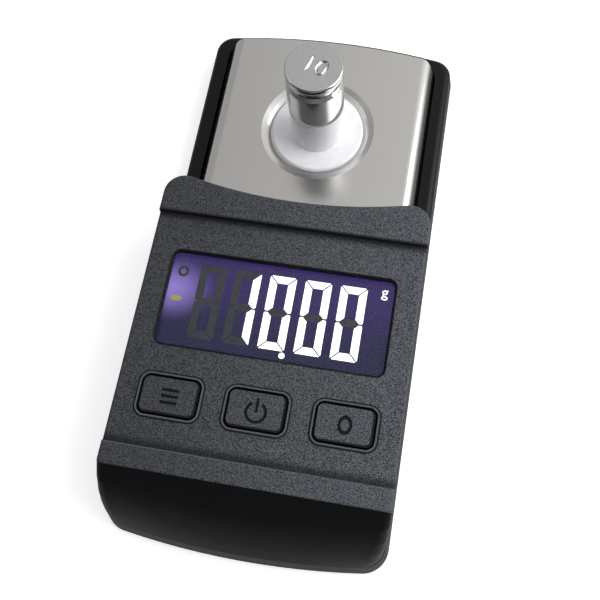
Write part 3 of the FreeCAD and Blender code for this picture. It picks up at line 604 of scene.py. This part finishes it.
housing_plastic = make_housing_plastic("housing_plastic", PANEL_Z)
key_plastic = make_housing_plastic("key_plastic", power_high.z - 0.16 * MM)
paint(housing_plastic, "top_cover", cover, "base_housing", "battery_door")
paint(key_plastic, "mode_key", "power_key", "tare_key", *marked_keys)

# %% [markdown]
# ## Plain finishes
# Most other pieces need one base colour with a slight mottling and a fine bump, each with
# its own numbers. One function makes them, so that a row of values describes a finish.

# %% Plain finishes
def make_plain(name, dark, light, roughness, scale, depth_mm, metallic=0.0):
    """Mottled finish: two colours, roughness, grain size per metre and depth in mm."""
    material, tree, shader = new_material(name)
    grain = add_grain(tree, scale)
    tone = two_tones(tree, grain.outputs["Tone"], dark, light)
    tree.links.new(tone, shader.inputs["Base Color"])
    shader.inputs["Roughness"].default_value = roughness
    shader.inputs["Metallic"].default_value = metallic
    bump(tree, shader, grain.outputs["Height"], depth_mm * MM)
    return material


FINISHES = {
    "foot_rubber": ((0.015, 0.015, 0.015), (0.03, 0.03, 0.03), 0.8, 2500.0, 0.03),
    "screw_steel": ((0.35, 0.35, 0.36), (0.5, 0.5, 0.5), 0.35, 1800.0, 0.005, 1.0),
    "board_laminate": ((0.01, 0.08, 0.03), (0.015, 0.13, 0.05), 0.35, 900.0, 0.01),
    "chip_resin": ((0.01, 0.01, 0.01), (0.025, 0.025, 0.025), 0.6, 2500.0, 0.01),
    "frame_plastic": ((0.6, 0.6, 0.58), (0.7, 0.7, 0.68), 0.5, 1500.0, 0.01),
    "light_guide": ((0.7, 0.74, 0.8), (0.8, 0.84, 0.9), 0.2, 600.0, 0.002),
    "contact_rubber": ((0.2, 0.2, 0.22), (0.32, 0.32, 0.34), 0.7, 2000.0, 0.01),
    "cell_sleeve": ((0.02, 0.02, 0.03), (0.05, 0.05, 0.07), 0.3, 700.0, 0.004),
    "contact_steel": ((0.5, 0.49, 0.46), (0.66, 0.65, 0.62), 0.3, 1500.0, 0.004, 1.0),
    "beam_aluminium": ((0.6, 0.6, 0.61), (0.76, 0.76, 0.77), 0.35, 1500.0, 0.006, 1.0),
    "plate_aluminium": ((0.55, 0.55, 0.56), (0.7, 0.7, 0.71), 0.4, 1200.0, 0.006, 1.0),
    "gauge_film": ((0.3, 0.12, 0.02), (0.45, 0.2, 0.04), 0.4, 2500.0, 0.003),
    "lead_insulation": ((0.35, 0.03, 0.02), (0.5, 0.05, 0.03), 0.45, 900.0, 0.004),
    "pad_foam": ((0.03, 0.03, 0.03), (0.07, 0.07, 0.07), 0.9, 3500.0, 0.05),
    "switch_plastic": ((0.02, 0.02, 0.02), (0.04, 0.04, 0.04), 0.5, 1800.0, 0.01),
    "pedestal_plastic": ((0.86, 0.86, 0.90), (0.91, 0.91, 0.94), 0.28, 700.0, 0.003),
}
WEARERS = {
    "foot_rubber": ["rubber_feet"],
    "screw_steel": ["housing_screws", "board_screws", "load_cell_screws", "support_screws"],
    "board_laminate": ["circuit_board"],
    "chip_resin": ["board_chips"],
    "frame_plastic": ["lcd_frame"],
    "light_guide": ["lcd_backlight"],
    "contact_rubber": ["lcd_contact_strip"],
    "cell_sleeve": ["battery_cells"],
    "contact_steel": ["link_contact", "end_contacts"],
    "beam_aluminium": ["load_cell"],
    "plate_aluminium": ["tray_support"],
    "gauge_film": ["strain_gauges"],
    "lead_insulation": ["gauge_leads"],
    "pad_foam": ["tray_pads"],
    "switch_plastic": ["mode_switch", "mode_plunger", "power_switch", "power_plunger",
                       "tare_switch", "tare_plunger"],
    "pedestal_plastic": ["stylus_pedestal"],
}

# %% Paint the plain pieces
for finish, values in FINISHES.items():
    paint(make_plain(finish, *values), *WEARERS[finish])

# %% [markdown]
# ## Steel tray and chromed weight
# The tray is bright rolled steel: almost a mirror, with a very fine grain along the gauge
# that smears what it reflects. The weight is chromed and polished, and only its top is satin.
# A metal shows little but its surroundings, so both stay plain: a tone, a fine bump and a
# roughness, with the studio doing the rest.

# %% Tray steel
ROLLING_SCALE = (4000.0, 60.0, 4000.0)  # across, along and through the sheet, per metre


def make_tray_steel():
    material, tree, shader = new_material("tray_steel")
    stretch = add(tree, "ShaderNodeMapping", Scale=ROLLING_SCALE)
    noise = add(tree, "ShaderNodeTexNoise", Scale=1.0, Detail=3.0)
    tree.links.new(object_place(tree), stretch.inputs["Vector"])
    tree.links.new(stretch.outputs["Vector"], noise.inputs["Vector"])
    tone = two_tones(tree, noise.outputs["Fac"], (0.600, 0.590, 0.570), (0.625, 0.615, 0.595))
    tree.links.new(tone, shader.inputs["Base Color"])
    shader.inputs["Metallic"].default_value = 1.0
    shader.inputs["Roughness"].default_value = 0.20
    bump(tree, shader, noise.outputs["Fac"], 0.0006 * MM)
    return material


paint(make_tray_steel(), "weighing_tray")

# %% Weight chrome
SIDE_ROUGHNESS, TOP_ROUGHNESS = 0.05, 0.30


def make_weight_chrome():
    """Chrome that is polished on the sides and in the sunk number, and satin on the top."""
    material, tree, shader = new_material("weight_chrome")
    top = weight_high.z
    place = tree.nodes.new("ShaderNodeSeparateXYZ")
    tree.links.new(object_place(tree), place.inputs["Vector"])
    level = tree.nodes.new("ShaderNodeMapRange")
    level.inputs["From Min"].default_value = top - 0.05 * MM
    level.inputs["From Max"].default_value = top
    level.inputs["To Min"].default_value = SIDE_ROUGHNESS
    level.inputs["To Max"].default_value = TOP_ROUGHNESS
    tree.links.new(place.outputs["Z"], level.inputs["Value"])
    tree.links.new(level.outputs["Result"], shader.inputs["Roughness"])
    noise = add(tree, "ShaderNodeTexNoise", Scale=1800.0, Detail=2.0)
    tree.links.new(object_place(tree), noise.inputs["Vector"])
    tone = two_tones(tree, noise.outputs["Fac"], (0.50, 0.50, 0.505), (0.62, 0.62, 0.62))
    tree.links.new(tone, shader.inputs["Base Color"])
    shader.inputs["Metallic"].default_value = 1.0
    bump(tree, shader, noise.outputs["Fac"], 0.002 * MM)
    return material


paint(make_weight_chrome(), "calibration_weight", weight_twin)

# %% [markdown]
# ## The lit display
# Behind the window lies a blue-violet glass, lit from behind and brightest near the lamp at
# its left edge. A lamp behind real glass would be slow and noisy to render, so the glass
# gives the light itself: its emission falls off from the left edge and towards the keys.
# The window is clear, so it only adds its own faint reflection.

# %% Display glass
LAMP_X, LAMP_Y = -20.5 * MM, -11.0 * MM
LAMP_REACH = (9.0 * MM, 7.0 * MM)
LAMP_GLOW = (0.27, 0.20, 0.58)
FIELD_NEAR_KEYS = (0.015, 0.015, 0.050)
FIELD_NEAR_HEAD = (0.034, 0.020, 0.105)


def make_display_glass():
    material, tree, shader = new_material("display_glass")
    place = tree.nodes.new("ShaderNodeSeparateXYZ")
    tree.links.new(object_place(tree), place.inputs["Vector"])
    squares = []
    for axis, centre, reach in (("X", LAMP_X, LAMP_REACH[0]), ("Y", LAMP_Y, LAMP_REACH[1])):
        offset = step_math(tree, "SUBTRACT", place.outputs[axis], centre)
        squares.append(step_math(tree, "POWER", step_math(tree, "DIVIDE", offset, reach), 2.0))
    away = step_math(tree, "SQRT", step_math(tree, "ADD", *squares))
    near = ramp_between(tree, away, 0.0, 1.0, 1.0, 0.0)
    towards_head = ramp_between(tree, place.outputs["Y"], -19.5 * MM, -8.0 * MM)
    field = two_tones(tree, towards_head, FIELD_NEAR_KEYS, FIELD_NEAR_HEAD)
    glow = blend_colours(tree, near, field, LAMP_GLOW)
    tree.links.new(glow, shader.inputs["Emission Color"])
    shader.inputs["Emission Strength"].default_value = 1.0
    grain = add_grain(tree, 700.0)
    base = two_tones(tree, grain.outputs["Tone"], (0.007, 0.006, 0.015), (0.009, 0.008, 0.019))
    tree.links.new(base, shader.inputs["Base Color"])
    shader.inputs["Roughness"].default_value = 0.3
    shader.inputs["Specular IOR Level"].default_value = 0.1
    return material


paint(make_display_glass(), "lcd_panel")

# %% Window
def make_window_acrylic():
    material, tree, shader = new_material("window_acrylic")
    grain = add_grain(tree, 500.0)
    tint = two_tones(tree, grain.outputs["Tone"], (0.93, 0.93, 0.96), (0.97, 0.97, 0.99))
    tree.links.new(tint, shader.inputs["Base Color"])
    shader.inputs["Transmission Weight"].default_value = 1.0
    shader.inputs["IOR"].default_value = 1.25
    shader.inputs["Specular IOR Level"].default_value = 0.2
    shader.inputs["Roughness"].default_value = 0.03
    return material


paint(make_window_acrylic(), "display_window")

# %% [markdown]
# ## Bars of the reading
# The electrodes on the glass are seven bars to a figure, and a font has no such shapes. So a
# figure is cut from rectangles: each bar is a flat plate whose ends are sliced off along
# slanted lines, and neighbours meet at a mitre with a hair of space between. Bisect slices.

# %% Bars
# These five sizes are in mm, the unit that figures are drawn in before they are placed.
FIGURE_WIDTH = 5.03
FIGURE_HEIGHT = 14.52
BAR = 1.46
HAIR = 0.15
CORNER = 0.34


def add_bar(x0, x1, y0, y1, cuts):
    """Flat bar in figure units (mm); each cut is a point and the direction that is cut away."""
    deselect_all()
    bpy.ops.mesh.primitive_plane_add(size=1.0, location=((x0 + x1) / 2, (y0 + y1) / 2, 0))
    bar = bpy.context.object
    bar.scale = (x1 - x0, y1 - y0, 1)
    bpy.ops.object.transform_apply(location=True, rotation=False, scale=True)
    bpy.ops.object.mode_set(mode="EDIT")
    for point, away in cuts:
        bpy.ops.mesh.select_all(action="SELECT")
        bpy.ops.mesh.bisect(plane_co=(*point, 0), plane_no=(*away, 0), clear_outer=True)
    bpy.ops.object.mode_set(mode="OBJECT")
    return bar


def pointed_ends(reach):
    """Four cuts that sharpen a bar to a point at each end."""
    return [((side * reach, 0), (side, slope)) for side in (1, -1) for slope in (1, -1)]


def figure_bars():
    """The seven bars of an upright figure, by name, as corners and cuts."""
    w, h = FIGURE_WIDTH / 2, FIGURE_HEIGHT / 2
    bars = {}
    for name, side in (("top", 1), ("bottom", -1)):
        low, high = sorted((side * h, side * (h - BAR)))
        cuts = [((w - HAIR, side * h), (1, -side)), ((-w + HAIR, side * h), (-1, -side)),
                ((w - CORNER, side * h), (1, side)), ((-w + CORNER, side * h), (-1, side))]
        bars[name] = (-w, w, low, high, cuts)
    for name, side, level in (("upper_right", 1, 1), ("upper_left", -1, 1),
                              ("lower_right", 1, -1), ("lower_left", -1, -1)):
        x0, x1 = sorted((side * w, side * (w - BAR)))
        y0, y1 = sorted((level * HAIR, level * h))
        cuts = [((side * w, level * (h - HAIR)), (-side, level)),
                ((side * w, level * (h - CORNER)), (side, level)),
                ((side * w, level * 2.2 * HAIR), (side, -level)),
                ((side * (w - BAR), level * (BAR / 2 + HAIR)), (-side, -level))]
        bars[name] = (x0, x1, y0, y1, cuts)
    reach = w - 0.35 * BAR
    bars["middle"] = (-w, w, -BAR / 2, BAR / 2, pointed_ends(reach))
    return bars


print("bars of one figure:", ", ".join(figure_bars()))

# %% [markdown]
# ## The reading
# The display shows a plain number, ten, with two places and a small unit. Bars that aren't
# driven still show as faint ghosts, because the glass reflects a little differently there.
# All are drawn flat in mm round their middle line, then joined, brought to the glass and
# given a thickness of a few hundredths, so that they lie on it from every side.

# %% Placing helpers
FIGURE_Y = -12.91
BAR_THICKNESS = 0.02 * MM
glass_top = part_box("lcd_panel")[1].z


def place_on_glass(pieces, name):
    """Joins flat pieces, brings them to metres on the glass and thickens them."""
    joined = join_pieces(pieces, name)
    joined.data.transform(Matrix.Scale(MM, 4))
    joined.data.transform(Matrix.Translation((0, FIGURE_Y * MM, glass_top)))
    bpy.ops.object.mode_set(mode="EDIT")
    bpy.ops.mesh.select_all(action="SELECT")
    bpy.ops.mesh.extrude_region_move(TRANSFORM_OT_translate={"value": (0, 0, BAR_THICKNESS)})
    bpy.ops.mesh.select_all(action="SELECT")
    bpy.ops.mesh.normals_make_consistent(inside=False)
    bpy.ops.object.mode_set(mode="OBJECT")
    return joined


def move_piece(piece, x, y):
    piece.data.transform(Matrix.Translation((x, y, 0)))
    return piece




DOT_SIDES = 28


def add_dot(x, y, radius, hole=0.0):
    """Flat disc in figure units, with an optional round hole."""
    deselect_all()
    bpy.ops.mesh.primitive_circle_add(vertices=DOT_SIDES, radius=radius, fill_type="NGON",
                                      location=(x, y - FIGURE_Y, 0))
    dot = bpy.context.object
    make_active(dot)
    bpy.ops.object.transform_apply(location=True)
    if hole:
        bpy.ops.object.mode_set(mode="EDIT")
        bpy.ops.mesh.select_mode(type="FACE")
        bpy.ops.mesh.select_all(action="SELECT")
        bpy.ops.mesh.inset(thickness=radius - hole, depth=0.0)
        bpy.ops.mesh.delete(type="FACE")
        bpy.ops.object.mode_set(mode="OBJECT")
    return dot


def add_unit(text, x, y, height):
    """Small letter of the unit, as a flat mesh in figure units."""
    deselect_all()
    bpy.ops.object.text_add(location=(0, 0, 0))
    letter = bpy.context.object
    letter.data.body = text
    letter.data.align_x = "CENTER"
    letter.data.size = height / 0.5
    letter.data.offset = 0.02
    letter.data.resolution_u = 4
    bpy.ops.object.convert(target="MESH")
    letter = bpy.context.object
    letter.location = (x, y - FIGURE_Y, 0)
    make_active(letter)
    bpy.ops.object.transform_apply(location=True)
    return letter


# %% Figures on the glass
FIGURE_PITCH = 6.735
FIRST_FIGURE_X = -13.3
ONE = ("upper_right", "lower_right")
ZERO = ("top", "bottom", "upper_left", "upper_right", "lower_left", "lower_right")
READING = ((), ONE, ZERO, ZERO, ZERO)

lit, ghost = [], []
for place_number, driven in enumerate(READING):
    for bar_name, corners in figure_bars().items():
        bar = move_piece(add_bar(*corners), FIRST_FIGURE_X + place_number * FIGURE_PITCH, 0)
        (lit if bar_name in driven else ghost).append(bar)

lit.append(add_dot(2.42, -20.97, 0.58))
lit.append(add_unit("g", 19.39, -6.75, 1.45))
ghost.append(add_dot(-19.08, -7.41, 1.1, hole=0.55))
minus = [move_piece(add_bar(-1.43, 1.43, -0.55, 0.55, pointed_ends(1.2)), -19.33, 0)]
reading = place_on_glass(lit, "display_reading")
ghosts = place_on_glass(ghost, "display_ghost_bars")
minus_sign = place_on_glass(minus, "display_minus")
print("reading:", len(reading.data.polygons), "faces, ghosts:", len(ghosts.data.polygons))

# %% [markdown]
# ## Light of the figures
# A driven bar lets the lamp's light through, so it is white and as bright as paper. An idle
# bar only dims the glass a little, and the minus bar glows a faint yellow-green. Each is a
# slightly mottled colour that is both reflected and given out.

# %% Finish of the reading
def make_glowing(name, dark, light, strength, roughness=0.4):
    material, tree, shader = new_material(name)
    grain = add_grain(tree, 900.0)
    tone = two_tones(tree, grain.outputs["Tone"], dark, light)
    tree.links.new(tone, shader.inputs["Base Color"])
    tree.links.new(tone, shader.inputs["Emission Color"])
    shader.inputs["Emission Strength"].default_value = strength
    shader.inputs["Roughness"].default_value = roughness
    return material


reading_light = make_glowing("reading_light", (0.93, 0.93, 0.97), (0.98, 0.98, 1.0), 1.0)
ghost_tint = make_glowing("ghost_tint", (0.016, 0.020, 0.022), (0.022, 0.026, 0.028), 0.5)
minus_tint = make_glowing("minus_tint", (0.20, 0.19, 0.055), (0.24, 0.22, 0.07), 0.8)
for piece, material in ((reading, reading_light), (ghosts, ghost_tint), (minus_sign, minus_tint)):
    piece.data.materials.clear()
    piece.data.materials.append(material)
    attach(piece, "housing")

# %% [markdown]
# ## The table
# The gauge lies on a plain pale table. Lit only by the lamps, a floor renders as a grey that
# varies, so camera rays see a paler one that also gives out a little light. It comes out
# white and keeps the object's soft shadow, while the object is lit by the darker floor.

# %% Floor
FLOOR_LIFT = 0.55
FLOOR_LIGHTING = (0.55, 0.55, 0.55)
FLOOR_SEEN = (0.9, 0.9, 0.9)


def make_floor():
    deselect_all()
    bpy.ops.mesh.primitive_plane_add(size=3.0, location=(0, 0, 0))
    floor = bpy.context.object
    floor.name = "floor"
    material, tree, shader = new_material("floor_white")
    rays = tree.nodes.new("ShaderNodeLightPath")
    seen = tree.nodes.new("ShaderNodeMath")
    seen.operation = "MAXIMUM"
    tree.links.new(rays.outputs["Is Camera Ray"], seen.inputs[0])
    tree.links.new(rays.outputs["Is Transmission Ray"], seen.inputs[1])
    tone = two_tones(tree, seen.outputs["Value"], FLOOR_LIGHTING, FLOOR_SEEN)
    tree.links.new(tone, shader.inputs["Base Color"])
    lift = tree.nodes.new("ShaderNodeMath")
    lift.operation = "MULTIPLY"
    lift.inputs[1].default_value = FLOOR_LIFT
    tree.links.new(seen.outputs["Value"], lift.inputs[0])
    tree.links.new(lift.outputs["Value"], shader.inputs["Emission Strength"])
    shader.inputs["Emission Color"].default_value = (1, 1, 1, 1)
    shader.inputs["Roughness"].default_value = 0.9
    shader.inputs["Specular IOR Level"].default_value = 0.0
    floor.data.materials.append(material)
    return floor


floor = make_floor()
print("floor at", floor.location.z)

# %% [markdown]
# ## The room
# Steel and gloss show the room around them. A uniform one would make the tray a flat grey,
# so the world is brighter on the right and darker in front, where the camera's own shade
# falls. Camera rays see plain white instead.

# %% World
WORLD_LEFT = 0.46
WORLD_RIGHT = 0.95
FRONT_SHADE = 0.25


def make_world():
    world = bpy.data.worlds.new("studio")
    bpy.context.scene.world = world
    world.use_nodes = True
    tree = world.node_tree
    shine = tree.nodes["Background"]
    way = tree.nodes.new("ShaderNodeTexCoord").outputs["Generated"]
    parts = tree.nodes.new("ShaderNodeSeparateXYZ")
    tree.links.new(way, parts.inputs["Vector"])
    depth = tree.nodes.new("ShaderNodeMapRange")
    depth.interpolation_type = "SMOOTHSTEP"
    depth.inputs["From Min"].default_value = -0.75
    depth.inputs["From Max"].default_value = 0.35
    depth.inputs["To Min"].default_value = FRONT_SHADE
    tree.links.new(parts.outputs["Y"], depth.inputs["Value"])
    across = tree.nodes.new("ShaderNodeMapRange")
    across.inputs["From Min"].default_value = -0.35
    across.inputs["From Max"].default_value = 0.25
    across.inputs["To Min"].default_value = WORLD_LEFT
    across.inputs["To Max"].default_value = WORLD_RIGHT
    tree.links.new(parts.outputs["X"], across.inputs["Value"])
    level = tree.nodes.new("ShaderNodeMath")
    level.operation = "MULTIPLY"
    tree.links.new(depth.outputs["Result"], level.inputs[0])
    tree.links.new(across.outputs["Result"], level.inputs[1])
    studio = two_tones(tree, level.outputs["Value"], (0, 0, 0), (1, 1, 1))
    rays = tree.nodes.new("ShaderNodeLightPath")
    colour = tree.nodes.new("ShaderNodeMix")
    colour.data_type = "RGBA"
    colour.inputs["B"].default_value = (1, 1, 1, 1)
    tree.links.new(rays.outputs["Is Camera Ray"], colour.inputs["Factor"])
    tree.links.new(studio, colour.inputs["A"])
    tree.links.new(colour.outputs["Result"], shine.inputs["Color"])
    shine.inputs["Strength"].default_value = 1.0


make_world()

# %% [markdown]
# ## The lamps
# One large soft lamp on the right gives the bright edges and the soft shadow on the left,
# and a weak one on the left keeps that side from going black. Both aim at the gauge.

# %% Lamps
def add_lamp(name, place, size, power):
    lamp = bpy.data.objects.new(name, bpy.data.lights.new(name, "AREA"))
    bpy.context.scene.collection.objects.link(lamp)
    lamp.data.shape = "RECTANGLE"
    lamp.data.size, lamp.data.size_y = size
    lamp.data.energy = power
    lamp.location = place
    lamp.rotation_euler = (-Vector(place)).to_track_quat("-Z", "Y").to_euler()
    print(name, power, "W")
    return lamp


add_lamp("right_softbox", (0.62, 0.10, 0.50), (0.75, 0.70), 5.6)
add_lamp("left_fill", (-0.6, 0.0, 0.5), (0.4, 0.6), 0.5)
